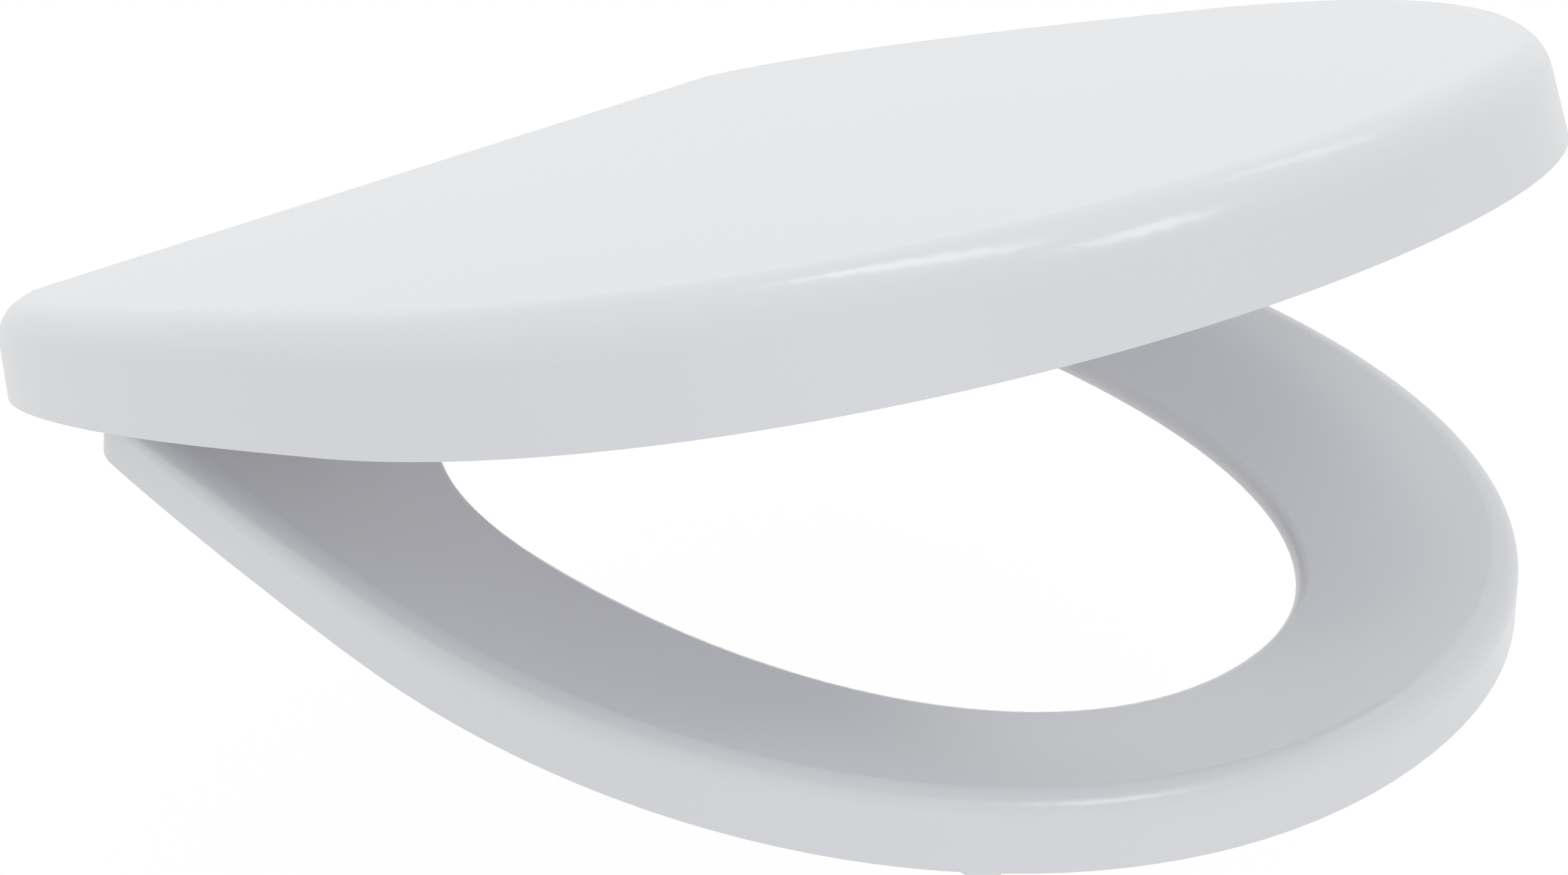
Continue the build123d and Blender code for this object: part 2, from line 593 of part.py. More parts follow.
# Each pin reaches a damper on one side of its arm and a bush on the other
damper_reach = SIDE_GAP + cavity_end - DAMPER_END_PLAY
bush_reach = SIDE_GAP + BUSH_LENGTH
foot_bottom = rosette_top - AXIS_ABOVE_DECK
foot_middle_height = foot_bottom + ARM_FOOT_HEIGHT / 2
stud_top = plate_top + STUD_HEIGHT
grub_height = plate_top + STUD_NECK_HEIGHT
neck_slope = STUD_RADIUS - STUD_NECK_RADIUS
neck_bottom = STUD_NECK_HEIGHT - GRUB_RADIUS - STUD_CLEARANCE
neck_top = STUD_NECK_HEIGHT + GRUB_RADIUS
for side_name, side in SIDES.items():
    centre = side * arm_x
    inner_face = centre - side * ARM_WIDTH / 2
    outer_face = centre + side * ARM_WIDTH / 2
    grub_line = Plane((centre, 0, grub_height), z_dir=(0, -1, 0))
    if side_name == "left":
        pin_inner = inner_face - side * damper_reach
        pin_outer = outer_face + side * bush_reach
    else:
        pin_inner = inner_face - side * bush_reach
        pin_outer = outer_face + side * damper_reach

    with BuildPart() as hinge_pin:
        with BuildSketch(side_plane(ring_frame, pin_inner)):
            Circle(PIN_RADIUS)
        extrude(amount=pin_outer - pin_inner)
        chamfer(hinge_pin.edges().filter_by(GeomType.CIRCLE), length=PIN_CHAMFER)
        with BuildSketch(side_plane(ring_frame, centre)):
            with Locations((0, 2 * PIN_RADIUS - PIN_FLAT)):
                Rectangle(2 * PIN_RADIUS, 2 * PIN_RADIUS)
        extrude(amount=ARM_WIDTH / 2, both=True, mode=Mode.SUBTRACT)
    save(hinge_pin.part, f"hinge_pin_{side_name}")

    with BuildPart() as hinge_arm:
        with BuildSketch(side_plane(ring_frame, centre)):
            Circle(ARM_EYE_RADIUS)
            with Locations((holes_in_frame, foot_middle_height)):
                Rectangle(ARM_FOOT_LENGTH, ARM_FOOT_HEIGHT)
            make_hull()
        extrude(amount=ARM_WIDTH / 2, both=True)
        toe = hinge_arm.faces().sort_by(Axis.Y)[0].edges().sort_by(Axis.Z)[-1]
        fillet(toe, radius=ARM_TOE_RADIUS)
        chamfer(hinge_arm.faces().filter_by(Axis.X).edges(), length=ARM_CHAMFER)
        with BuildSketch(side_plane(ring_frame, centre)):
            Circle(PIN_RADIUS)
            with Locations((0, 2 * PIN_RADIUS - PIN_FLAT)):
                Rectangle(2 * PIN_RADIUS, 2 * PIN_RADIUS, mode=Mode.SUBTRACT)
        extrude(amount=ARM_WIDTH / 2, both=True, mode=Mode.SUBTRACT)
        with BuildSketch(Plane((centre, 0, rosette_top))):
            Circle(STUD_RADIUS + STUD_CLEARANCE)
        extrude(amount=stud_top - rosette_top + STUD_CLEARANCE, mode=Mode.SUBTRACT)
        with BuildSketch(grub_line):
            Circle(GRUB_RADIUS)
        extrude(amount=ARM_FOOT_LENGTH, mode=Mode.SUBTRACT)
    save(hinge_arm.part, f"hinge_arm_{side_name}")

    with BuildPart() as grub_screw:
        tip = grub_line.offset(STUD_NECK_RADIUS + STUD_CLEARANCE)
        with BuildSketch(tip):
            Circle(GRUB_RADIUS)
        extrude(amount=GRUB_LENGTH)
        chamfer(grub_screw.edges().filter_by(GeomType.CIRCLE).sort_by(Axis.Y)[-1], length=GRUB_CHAMFER)
        with BuildSketch(tip.offset(GRUB_LENGTH)):
            RegularPolygon(GRUB_SOCKET, 6, major_radius=False)
        extrude(amount=-GRUB_SOCKET_DEPTH, mode=Mode.SUBTRACT)
    save(grub_screw.part, f"grub_screw_{side_name}")

    with BuildPart() as gasket:
        with BuildSketch(Plane((centre, 0, 0))):
            Circle(ROSETTE_RADIUS)
            Circle(ROD_RADIUS + ROD_CLEARANCE, mode=Mode.SUBTRACT)
        extrude(amount=GASKET_THICKNESS)
    save(gasket.part, f"gasket_{side_name}")

    with BuildPart() as mounting_plate:
        with BuildSketch(Plane((centre, 0, gasket_top))):
            Circle(PLATE_RADIUS)
            SlotOverall(PLATE_SLOT_LENGTH, 2 * (ROD_RADIUS + ROD_CLEARANCE), rotation=90, mode=Mode.SUBTRACT)
        extrude(amount=PLATE_THICKNESS)
    save(mounting_plate.part, f"mounting_plate_{side_name}")

    with BuildPart() as cover_rosette:
        with BuildSketch(Plane((centre, 0, gasket_top))):
            Circle(ROSETTE_RADIUS)
        extrude(amount=ROSETTE_HEIGHT)
        fillet(cover_rosette.faces().sort_by(Axis.Z)[-1].edges(), radius=ROSETTE_HEIGHT / 2)
        with BuildSketch(Plane((centre, 0, gasket_top))):
            Circle(ROSETTE_RADIUS - ROSETTE_SHEET)
        extrude(amount=ROSETTE_HEIGHT - ROSETTE_SHEET, mode=Mode.SUBTRACT)
        with BuildSketch(Plane((centre, 0, gasket_top))):
            Circle(STUD_RADIUS + ROD_CLEARANCE)
        extrude(amount=ROSETTE_HEIGHT, mode=Mode.SUBTRACT)
    save(cover_rosette.part, f"cover_rosette_{side_name}")

    with BuildPart() as locating_stud:
        with BuildSketch(Plane((centre, 0, plate_top), x_dir=(1, 0, 0), z_dir=(0, -1, 0))):
            with BuildLine():
                Polyline(
                    (ROD_RADIUS, 0),
                    (STUD_RADIUS, 0),
                    (STUD_RADIUS, neck_bottom),
                    (STUD_NECK_RADIUS, neck_bottom + neck_slope),
                    (STUD_NECK_RADIUS, neck_top - neck_slope),
                    (STUD_RADIUS, neck_top),
                    (STUD_RADIUS, STUD_HEIGHT - STUD_CHAMFER),
                    (STUD_RADIUS - STUD_CHAMFER, STUD_HEIGHT),
                    (0, STUD_HEIGHT),
                    (0, ROD_GRIP),
                    (ROD_RADIUS, ROD_GRIP),
                    close=True,
                )
            make_face()
        revolve(axis=Axis((centre, 0, 0), (0, 0, 1)))
    save(locating_stud.part, f"locating_stud_{side_name}")

    with BuildPart() as threaded_rod:
        with BuildSketch(Plane((centre, 0, plate_top + ROD_GRIP))):
            Circle(ROD_RADIUS)
        extrude(amount=-(plate_top + ROD_GRIP + ROD_BELOW_DECK - ROD_TIP_LENGTH))
        with BuildSketch(Plane((centre, 0, -ROD_BELOW_DECK))):
            Circle(ROD_TIP_RADIUS)
        extrude(amount=ROD_TIP_LENGTH)
        chamfer(threaded_rod.faces().sort_by(Axis.Z)[0].edges(), length=ROD_CHAMFER)
    save(threaded_rod.part, f"threaded_rod_{side_name}")

    with BuildPart() as centring_cone:
        with BuildSketch(Plane((centre, 0, 0), x_dir=(1, 0, 0), z_dir=(0, -1, 0))):
            with BuildLine():
                Polyline(
                    (ROD_RADIUS + ROD_CLEARANCE, CONE_TOP),
                    (CONE_TOP_RADIUS, CONE_TOP),
                    (CONE_BOTTOM_RADIUS, CONE_BOTTOM + CONE_FLANGE),
                    (CONE_BOTTOM_RADIUS, CONE_BOTTOM),
                    (ROD_RADIUS + ROD_CLEARANCE, CONE_BOTTOM),
                    close=True,
                )
            make_face()
        revolve(axis=Axis((centre, 0, 0), (0, 0, 1)))
    save(centring_cone.part, f"centring_cone_{side_name}")

    with BuildPart() as washer:
        with BuildSketch(Plane((centre, 0, CONE_BOTTOM))):
            Circle(WASHER_RADIUS)
            Circle(ROD_RADIUS + ROD_CLEARANCE, mode=Mode.SUBTRACT)
        extrude(amount=-WASHER_THICKNESS)
    save(washer.part, f"washer_{side_name}")

    with BuildPart() as wing_nut:
        nut_top = CONE_BOTTOM - WASHER_THICKNESS
        with BuildSketch(Plane((centre, 0, nut_top))):
            Circle(NUT_RADIUS)
        extrude(amount=-NUT_HEIGHT)
        with BuildSketch(Plane((centre, 0, nut_top), x_dir=(1, 0, 0), z_dir=(0, -1, 0))):
            with BuildLine():
                Polyline(
                    (0, -NUT_HEIGHT / 3),
                    (NUT_RADIUS, -NUT_HEIGHT / 3),
                    (NUT_WING_SPAN / 2, -NUT_HEIGHT / 2),
                    (NUT_WING_SPAN / 2, -NUT_WING_HEIGHT),
                    (NUT_RADIUS, -NUT_HEIGHT),
                    (0, -NUT_HEIGHT),
                    close=True,
                )
            make_face()
            mirror(about=Plane.YZ)
        extrude(amount=NUT_WING_THICKNESS / 2, both=True)
        with BuildSketch(Plane((centre, 0, nut_top))):
            Circle(ROD_RADIUS)
        extrude(amount=-NUT_HEIGHT, mode=Mode.SUBTRACT)
    save(wing_nut.part, f"wing_nut_{side_name}")
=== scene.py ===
"""The looks of a toilet seat with a raised lid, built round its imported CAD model.

Each operator dresses or models one piece or one group of like pieces, and the last one sets the
stage: a pale floor, soft lamps and the camera. All sizes are in metres unless a name says otherwise.
"""

import json
import math

import bpy
from mathutils import Matrix, Vector

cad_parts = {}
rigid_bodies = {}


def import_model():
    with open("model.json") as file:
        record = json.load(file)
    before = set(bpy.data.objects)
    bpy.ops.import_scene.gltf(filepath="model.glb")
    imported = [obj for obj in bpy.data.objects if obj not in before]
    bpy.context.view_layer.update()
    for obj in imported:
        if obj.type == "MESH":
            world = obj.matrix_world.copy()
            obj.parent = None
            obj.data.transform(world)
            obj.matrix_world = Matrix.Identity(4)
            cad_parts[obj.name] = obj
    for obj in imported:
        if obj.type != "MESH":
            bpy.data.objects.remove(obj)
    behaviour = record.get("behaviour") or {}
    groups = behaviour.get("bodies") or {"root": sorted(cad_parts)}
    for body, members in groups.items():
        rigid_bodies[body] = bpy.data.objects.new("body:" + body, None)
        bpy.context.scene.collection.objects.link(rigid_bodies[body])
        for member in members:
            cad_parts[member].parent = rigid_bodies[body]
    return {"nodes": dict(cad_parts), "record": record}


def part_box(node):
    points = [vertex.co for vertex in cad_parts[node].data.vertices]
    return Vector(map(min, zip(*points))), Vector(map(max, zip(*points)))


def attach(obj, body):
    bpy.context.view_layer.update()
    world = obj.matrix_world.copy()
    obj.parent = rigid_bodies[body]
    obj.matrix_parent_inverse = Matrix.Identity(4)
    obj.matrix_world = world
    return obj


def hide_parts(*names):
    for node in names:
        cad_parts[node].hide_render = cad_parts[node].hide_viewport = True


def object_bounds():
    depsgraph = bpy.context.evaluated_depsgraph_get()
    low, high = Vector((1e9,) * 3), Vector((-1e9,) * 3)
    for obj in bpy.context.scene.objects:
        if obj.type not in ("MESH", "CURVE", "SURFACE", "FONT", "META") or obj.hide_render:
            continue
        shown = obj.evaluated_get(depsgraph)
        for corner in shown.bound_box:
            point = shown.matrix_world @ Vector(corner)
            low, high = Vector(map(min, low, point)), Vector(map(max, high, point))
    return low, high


bl_info = {
    "name": "Toilet Seat Dresser",
    "version": (1, 0, 0),
    "blender": (4, 5, 0),
    "location": "3D View > Sidebar > Toilet Seat",
    "description": "Finishes and stages a toilet seat with a raised lid",
    "category": "Object",
}

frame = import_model()
CAD_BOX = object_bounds()
SIDES = ("left", "right")
NODES = frame["nodes"]

# Sockets of a Mix node for colours, by number because their names repeat
MIX_SHARE = 0
MIX_FIRST = 6
MIX_SECOND = 7
MIX_RESULT = 2

# How fine the tool marks are along X, Y and Z: rings round an axis are fine along it
RINGS_ROUND_X = (1.0, 0.08, 0.08)
RINGS_ROUND_Z = (0.08, 0.08, 1.0)
RINGS_ON_THREAD = (0.3, 0.3, 1.0)

# Threaded rods
CORE_FACETS = 48
RIDGE_SINK = 0.00005
SMOOTH_ANGLE = math.radians(35.0)

# Stage
WHITE = (1.0, 1.0, 1.0, 1.0)
PAPER = (0.9, 0.9, 0.9, 1.0)
FLOOR_SIZE = 40.0
LID_NEAR_EDGE = (-0.09, -0.35, 0.16)
SEAT_MIDDLE = (0.0, -0.2, 0.05)
SENSOR_WIDTH_MM = 36.0
CAMERA_CLIP_START = 0.01

# Lamps: the place, then the width and height of each
SOFTBOXES = {
    "top_softbox": ((-0.01, 0.10, 1.38), (0.2, 0.9)),
    "front_softbox": ((0.05, -0.91, 1.33), (0.4, 0.4)),
    "right_softbox": ((0.86, -0.03, 1.04), (0.4, 0.15)),
}
FILLS = {
    "left_fill": ((-1.2, -1.0, 0.5), (1.0, 0.8)),
    "rear_fill": ((-0.55, 0.55, 1.15), (0.9, 0.9)),
}


class Field:
    """A shader socket that takes part in Python expressions."""

    def __init__(self, shader, socket):
        self.shader = shader
        self.socket = socket

    def maths(self, operation, *values):
        return self.shader.node("ShaderNodeMath", {"operation": operation}, dict(enumerate(values)))

    def __add__(self, other):
        return self.maths("ADD", self, other)

    def __radd__(self, other):
        return self.maths("ADD", other, self)

    def __mul__(self, other):
        return self.maths("MULTIPLY", self, other)

    def __rmul__(self, other):
        return self.maths("MULTIPLY", other, self)

    def clamped(self):
        return self.maths("MINIMUM", self.maths("MAXIMUM", self, 0.0), 1.0)


class Shader:
    """The nodes of one material or world, added by a single method and read as fields."""

    def __init__(self, name=None, world=None):
        self.owner = world or bpy.data.materials.new(name)
        self.owner.use_nodes = True
        self.tree = self.owner.node_tree
        self.tree.nodes.clear()
        self.out = self.tree.nodes.new("ShaderNodeOutputWorld" if world else "ShaderNodeOutputMaterial")

    def node(self, kind, settings=None, inputs=None, output=0):
        """Adds a node: its settings go first, then its sockets' values or links."""
        made = self.tree.nodes.new(kind)
        for name, value in (settings or {}).items():
            setattr(made, name, value)
        for name, value in (inputs or {}).items():
            if isinstance(value, Field):
                self.tree.links.new(value.socket, made.inputs[name])
            else:
                made.inputs[name].default_value = value
        return Field(self, made.outputs[output])

    def ray(self, kind):
        """1 for rays of this kind, and 0 for all others."""
        return self.node("ShaderNodeLightPath", output=f"Is {kind} Ray")

    def noise(self, size, detail=2.0, fineness=(1.0, 1.0, 1.0)):
        """Soft noise from 0 to 1, whose patches measure about size divided by each axis's fineness."""
        place = self.node("ShaderNodeTexCoord", output="Object")
        stretch = {"Vector": place, "Scale": fineness}
        stretched = self.node("ShaderNodeMapping", {"vector_type": "POINT"}, stretch)
        pattern = {"Vector": stretched, "Scale": 1.0 / size, "Detail": detail}
        return self.node("ShaderNodeTexNoise", {"noise_dimensions": "3D"}, pattern)

    def clouded(self, cloud, colour, share):
        """The colour where cloud is 0, and share times as bright where it is 1."""
        colours = {MIX_FIRST: rgba(colour), MIX_SECOND: rgba([part * share for part in colour])}
        return self.node("ShaderNodeMix", {"data_type": "RGBA"}, {MIX_SHARE: cloud, **colours}, MIX_RESULT)

    def bump(self, height, distance, strength=1.0):
        """Normals that follow height, which stands distance tall where it is 1."""
        relief = {"Height": height, "Distance": distance, "Strength": strength}
        return self.node("ShaderNodeBump", inputs=relief)

    def mix(self, share, first, second):
        """The first look where share is 0 and the second where it is 1."""
        return self.node("ShaderNodeMixShader", inputs={0: share, 1: first, 2: second})

    def surface(self, inputs):
        """Ends the material in a Principled BSDF with these sockets."""
        return self.end(self.node("ShaderNodeBsdfPrincipled", inputs=inputs))

    def end(self, look):
        self.tree.links.new(look.socket, self.out.inputs["Surface"])
        return self.owner


def rgba(colour):
    return (colour[0], colour[1], colour[2], 1.0)


def dress(names, material):
    """Gives CAD nodes a material in place of their plain one."""
    for name in names:
        slots = NODES[name].data.materials
        slots.clear()
        slots.append(material)


def both(*stems):
    """The names of these pieces on both sides."""
    return [f"{stem}_{side}" for stem in stems for side in SIDES]


def deselect():
    for other in bpy.data.objects:
        other.select_set(False)


def move_to(piece, place):
    """Moves a piece and leaves its object at the origin, with the place in its mesh."""
    deselect()
    piece.select_set(True)
    bpy.context.view_layer.objects.active = piece
    piece.location = place
    bpy.ops.object.transform_apply(location=True, rotation=True, scale=True)


def moulded_white(name, finish):
    """Glossy thermoset white: level, hard, with the faint waviness of a polished mould."""
    shader = Shader(name)
    waves = shader.noise(finish.wave_length, detail=1.0)
    cloud = shader.noise(size=0.09)
    haze = shader.noise(size=0.004, detail=3.0)
    return shader.surface({
        "Base Color": shader.clouded(cloud, finish.colour, share=0.985),
        "Roughness": finish.roughness + haze * finish.spread,
        "IOR": finish.refraction,
        "Coat Weight": finish.coat,
        "Coat Roughness": finish.coat_roughness,
        "Normal": shader.bump(waves, finish.wave_height),
    })


def polished_plate(name, finish):
    """Bright plate with faint wiping marks and a little spread where it has been handled."""
    shader = Shader(name)
    wiping = shader.noise(size=0.0006, fineness=(0.12, 1.0, 1.0))
    cloud = shader.noise(size=0.012)
    return shader.surface({
        "Base Color": shader.clouded(cloud, finish.colour, share=0.93),
        "Metallic": 1.0,
        "Roughness": finish.roughness + wiping * finish.spread + cloud * finish.handling,
        "Normal": shader.bump(wiping, distance=0.00001, strength=0.4),
    })


def turned_steel(name, finish, fineness):
    """Stainless steel with fine tool marks round the piece."""
    shader = Shader(name)
    marks = shader.noise(size=0.0005, fineness=fineness)
    cloud = shader.noise(size=0.008)
    return shader.surface({
        "Base Color": shader.clouded(cloud, finish.colour, share=0.85),
        "Metallic": 1.0,
        "Roughness": finish.roughness + marks * finish.spread,
        "Normal": shader.bump(marks, distance=0.00003, strength=0.5),
    })


def soft_rubber(name, finish):
    """Moulded elastomer: matt, with a fine grain and faint bloom."""
    shader = Shader(name)
    grain = shader.noise(size=0.0007, detail=3.0)
    bloom = shader.noise(size=0.009)
    return shader.surface({
        "Base Color": shader.clouded(bloom, finish.colour, share=1.12),
        "Roughness": finish.roughness + grain * finish.spread,
        "Normal": shader.bump(grain, distance=0.00006, strength=0.6),
    })


def moulded_nylon(name, finish):
    """Natural nylon with a fine spark-eroded grain."""
    shader = Shader(name)
    grain = shader.noise(size=0.0005)
    flow = shader.noise(size=0.014, fineness=(1.0, 1.0, 0.4))
    return shader.surface({
        "Base Color": shader.clouded(flow, finish.colour, share=0.93),
        "Roughness": finish.roughness + grain * finish.spread,
        "Normal": shader.bump(grain, distance=0.00004, strength=0.5),
    })


def colour_of(slot):
    """The record's colour for a material slot."""
    for entry in frame["record"]["materials"]:
        if entry["slot"] == slot:
            return entry["base_color"][:3]
    raise ValueError(f"the record has no material slot {slot}")


def colour_property(default, name="Colour", description="Base colour"):
    return bpy.props.FloatVectorProperty(
        name=name, description=description, subtype="COLOR", size=3, min=0.0, max=1.0, default=default
    )


def factor_property(name, description, default):
    return bpy.props.FloatProperty(
        name=name, description=description, default=default, min=0.0, max=1.0, subtype="FACTOR"
    )


def roughness_property(default):
    return factor_property("Roughness", "0 is a mirror, 1 is chalk", default)


def spread_property(default):
    return factor_property("Spread", "How much rougher the roughest spots are", default)


def strength_property(name, description, default):
    return bpy.props.FloatProperty(name=name, description=description, default=default, min=0.0)


def power_property(name, description, default):
    return bpy.props.FloatProperty(
        name=name, description=description, default=default, min=0.0, unit="POWER"
    )


def length_property(name, description, default):
    return bpy.props.FloatProperty(name=name, description=description, default=default, unit="LENGTH")


def angle_property(name, description, degrees):
    return bpy.props.FloatProperty(
        name=name, description=description, default=math.radians(degrees), subtype="ANGLE"
    )


def group_property(group, name, description):
    return bpy.props.PointerProperty(type=group, name=name, description=description)


class WhiteMoulding(bpy.types.PropertyGroup):
    """The glossy white of the lid and the ring."""

    colour: colour_property((0.80, 0.80, 0.825))
    roughness: roughness_property(0.22)
    spread: spread_property(0.03)
    refraction: bpy.props.FloatProperty(
        name="Refraction", description="Index of refraction", default=1.54, min=1.0
    )
    coat: factor_property("Coat", "Share of the gloss that lies over the colour", 0.25)
    coat_roughness: factor_property("Coat roughness", "How soft that gloss is", 0.18)
    wave_length: length_property("Wave length", "Spacing of the surface's faint waves", 0.03)
    wave_height: length_property("Wave height", "Height of the surface's faint waves", 0.00002)


class HingePlating(bpy.types.PropertyGroup):
    """Bright plating of the hinge arms and rosettes."""

    colour: colour_property(colour_of("hinge_chrome"))
    roughness: roughness_property(0.07)
    spread: spread_property(0.05)
    handling: factor_property("Handling", "How much rougher it is where it has been handled", 0.04)


class FixingSteel(bpy.types.PropertyGroup):
    """Steel of the pins, plates, studs and rods."""

    colour: colour_property(colour_of("fixing_steel"))
    roughness: roughness_property(0.24)
    spread: spread_property(0.12)


class ConeRubber(bpy.types.PropertyGroup):
    """Rubber of the centring cones."""

    colour: colour_property(colour_of("cone_rubber"))
    roughness: roughness_property(0.62)
    spread: spread_property(0.12)


class GasketRubber(bpy.types.PropertyGroup):
    """Rubber of the gaskets on the deck."""

    colour: colour_property(colour_of("gasket_rubber"))
    roughness: roughness_property(0.66)
    spread: spread_property(0.12)


class BufferRubber(bpy.types.PropertyGroup):
    """Pale rubber of the lid's and the ring's buffers."""

    colour: colour_property(colour_of("buffer_rubber"))
    roughness: roughness_property(0.50)
    spread: spread_property(0.12)


class FixingNylon(bpy.types.PropertyGroup):
    """Nylon of the washers and wing nuts."""

    colour: colour_property(colour_of("fixing_nylon"))
    roughness: roughness_property(0.42)
    spread: spread_property(0.10)


class DamperPlastic(bpy.types.PropertyGroup):
    """Plastic of the dampers and plain bushes."""

    colour: colour_property(colour_of("damper_plastic"))
    roughness: roughness_property(0.38)
    spread: spread_property(0.10)


class RodThread(bpy.types.PropertyGroup):
    """The screw thread on the two fixing rods."""

    pitch: length_property("Pitch", "Rise of the thread in one turn", 0.00125)
    depth: length_property("Depth", "Height of the thread's crest over its root", 0.0007)
    tip: length_property("Tip", "Length of the plain end below the thread", 0.010)
    chamfer: length_property("Chamfer", "Bevel round the end of the tip", 0.0008)
    steps: bpy.props.IntProperty(
        name="Steps", description="Steps round one turn of the thread", default=24, min=8
    )


class SeatStage(bpy.types.PropertyGroup):
    """Camera, floor and lamps."""

    azimuth: angle_property("Azimuth", "Camera's bearing from the front, to the right", -43.175)
    elevation: angle_property("Elevation", "Camera's height angle", 29.44)
    roll: angle_property("Roll", "Camera's turn about its line of sight", 0.59)
    distance: length_property("Distance", "From the camera to the point it looks past", 0.739065)
    aim: bpy.props.FloatVectorProperty(
        name="Aim",
        description="Point that the distance is taken from",
        size=3,
        default=(0.0, -0.180, 0.019),
        subtype="XYZ",
    )
    slide: bpy.props.FloatVectorProperty(
        name="Slide",
        description="Camera's move to the right and down, square to its view",
        size=2,
        default=(-0.028091, 0.016230),
        subtype="XYZ",
    )
    focal_length: bpy.props.FloatProperty(
        name="Focal length", description="Lens, in millimetres for a 36 mm sensor", default=54.957
    )
    shift: bpy.props.FloatVectorProperty(
        name="Shift", description="Lens shift, in image widths", size=2, default=(0.05471, 0.01802)
    )
    sky: strength_property("Sky", "Strength of the even light from all round", 0.67)
    sky_colour: colour_property((0.95, 0.98, 1.0), "Sky colour", "Colour of the even light")
    top_softbox: power_property("Top softbox", "Lamp high above the hinges", 1.7)
    front_softbox: power_property("Front softbox", "Lamp high above the front", 1.55)
    right_softbox: power_property("Right softbox", "Lamp high at the right", 0.25)
    left_fill: power_property("Left fill", "Lamp low at the left front, not mirrored in the seat", 1.8)
    rear_fill: power_property("Rear fill", "Lamp above the left rear, not mirrored in the seat", 1.1)
    floor_gap: length_property(
        "Floor gap", "From the rods' ends down to the floor, with room for the fully open lid", 0.085
    )
    floor_glow: strength_property(
        "Floor glow", "The floor's own white to the camera, which makes up for its shadowed share", 1.034
    )
    floor_shadow: factor_property("Floor shadow", "How much of the shadow on the floor shows", 0.08)
    floor_mirrored: factor_property(
        "Floor mirrored", "How white the floor is in the glossy pieces", 0.95
    )
    floor_bounce: strength_property(
        "Floor bounce", "Light that the white floor throws up at the seat", 0.95
    )


class ToiletSeatSettings(bpy.types.PropertyGroup):
    """Everything that a user would change."""

    white: group_property(WhiteMoulding, "White", "Lid and ring")
    plating: group_property(HingePlating, "Plating", "Hinge arms and rosettes")
    steel: group_property(FixingSteel, "Steel", "Pins, plates, studs and rods")
    cone: group_property(ConeRubber, "Cone", "Centring cones")
    gasket: group_property(GasketRubber, "Gasket", "Gaskets on the deck")
    buffer: group_property(BufferRubber, "Buffer", "Buffers of lid and ring")
    nylon: group_property(FixingNylon, "Nylon", "Washers and wing nuts")
    damper: group_property(DamperPlastic, "Damper", "Dampers and bushes")
    thread: group_property(RodThread, "Thread", "Thread on the rods")
    stage: group_property(SeatStage, "Stage", "Camera, floor and lamps")


class SEAT_OT_mouldings(bpy.types.Operator):
    """Finishes the lid and the seat ring"""

    bl_idname = "seat.mouldings"
    bl_label = "Lid and Ring"

    def execute(self, context):
        white = context.scene.toilet_seat.white
        dress(["lid"], moulded_white("lid_white", white))
        dress(["seat_ring"], moulded_white("ring_white", white))
        return {"FINISHED"}


class SEAT_OT_buffers(bpy.types.Operator):
    """Finishes the buffers under the lid and the ring"""

    bl_idname = "seat.buffers"
    bl_label = "Buffers"

    def execute(self, context):
        rubber = soft_rubber("buffer_rubber", context.scene.toilet_seat.buffer)
        dress(both("lid_buffer_front", "lid_buffer_rear", "ring_buffer_front", "ring_buffer_rear"), rubber)
        return {"FINISHED"}


class SEAT_OT_hinges(bpy.types.Operator):
    """Finishes the hinge arms, their rosettes, pins and grub screws"""

    bl_idname = "seat.hinges"
    bl_label = "Hinges"

    def execute(self, context):
        seat = context.scene.toilet_seat
        dress(both("hinge_arm", "cover_rosette"), polished_plate("hinge_chrome", seat.plating))
        dress(both("hinge_pin", "grub_screw"), turned_steel("pin_steel", seat.steel, RINGS_ROUND_X))
        return {"FINISHED"}


class SEAT_OT_dampers(bpy.types.Operator):
    """Finishes the dampers and plain bushes inside the barrels"""

    bl_idname = "seat.dampers"
    bl_label = "Dampers and Bushes"

    def execute(self, context):
        pieces = ("damper_housing", "damper_rotor", "damper_plug", "bush")
        inner = [f"{body}_{piece}" for body in ("lid", "ring") for piece in pieces]
        dress(inner, moulded_nylon("damper_plastic", context.scene.toilet_seat.damper))
        return {"FINISHED"}


class SEAT_OT_fixings(bpy.types.Operator):
    """Finishes everything that clamps the hinges to the bowl"""

    bl_idname = "seat.fixings"
    bl_label = "Fixings"

    def execute(self, context):
        seat = context.scene.toilet_seat
        dress(both("gasket"), soft_rubber("gasket_rubber", seat.gasket))
        dress(both("centring_cone"), soft_rubber("cone_rubber", seat.cone))
        dress(both("washer", "wing_nut"), moulded_nylon("fixing_nylon", seat.nylon))
        steel = turned_steel("fixing_steel", seat.steel, RINGS_ROUND_Z)
        dress(both("mounting_plate", "locating_stud"), steel)
        return {"FINISHED"}


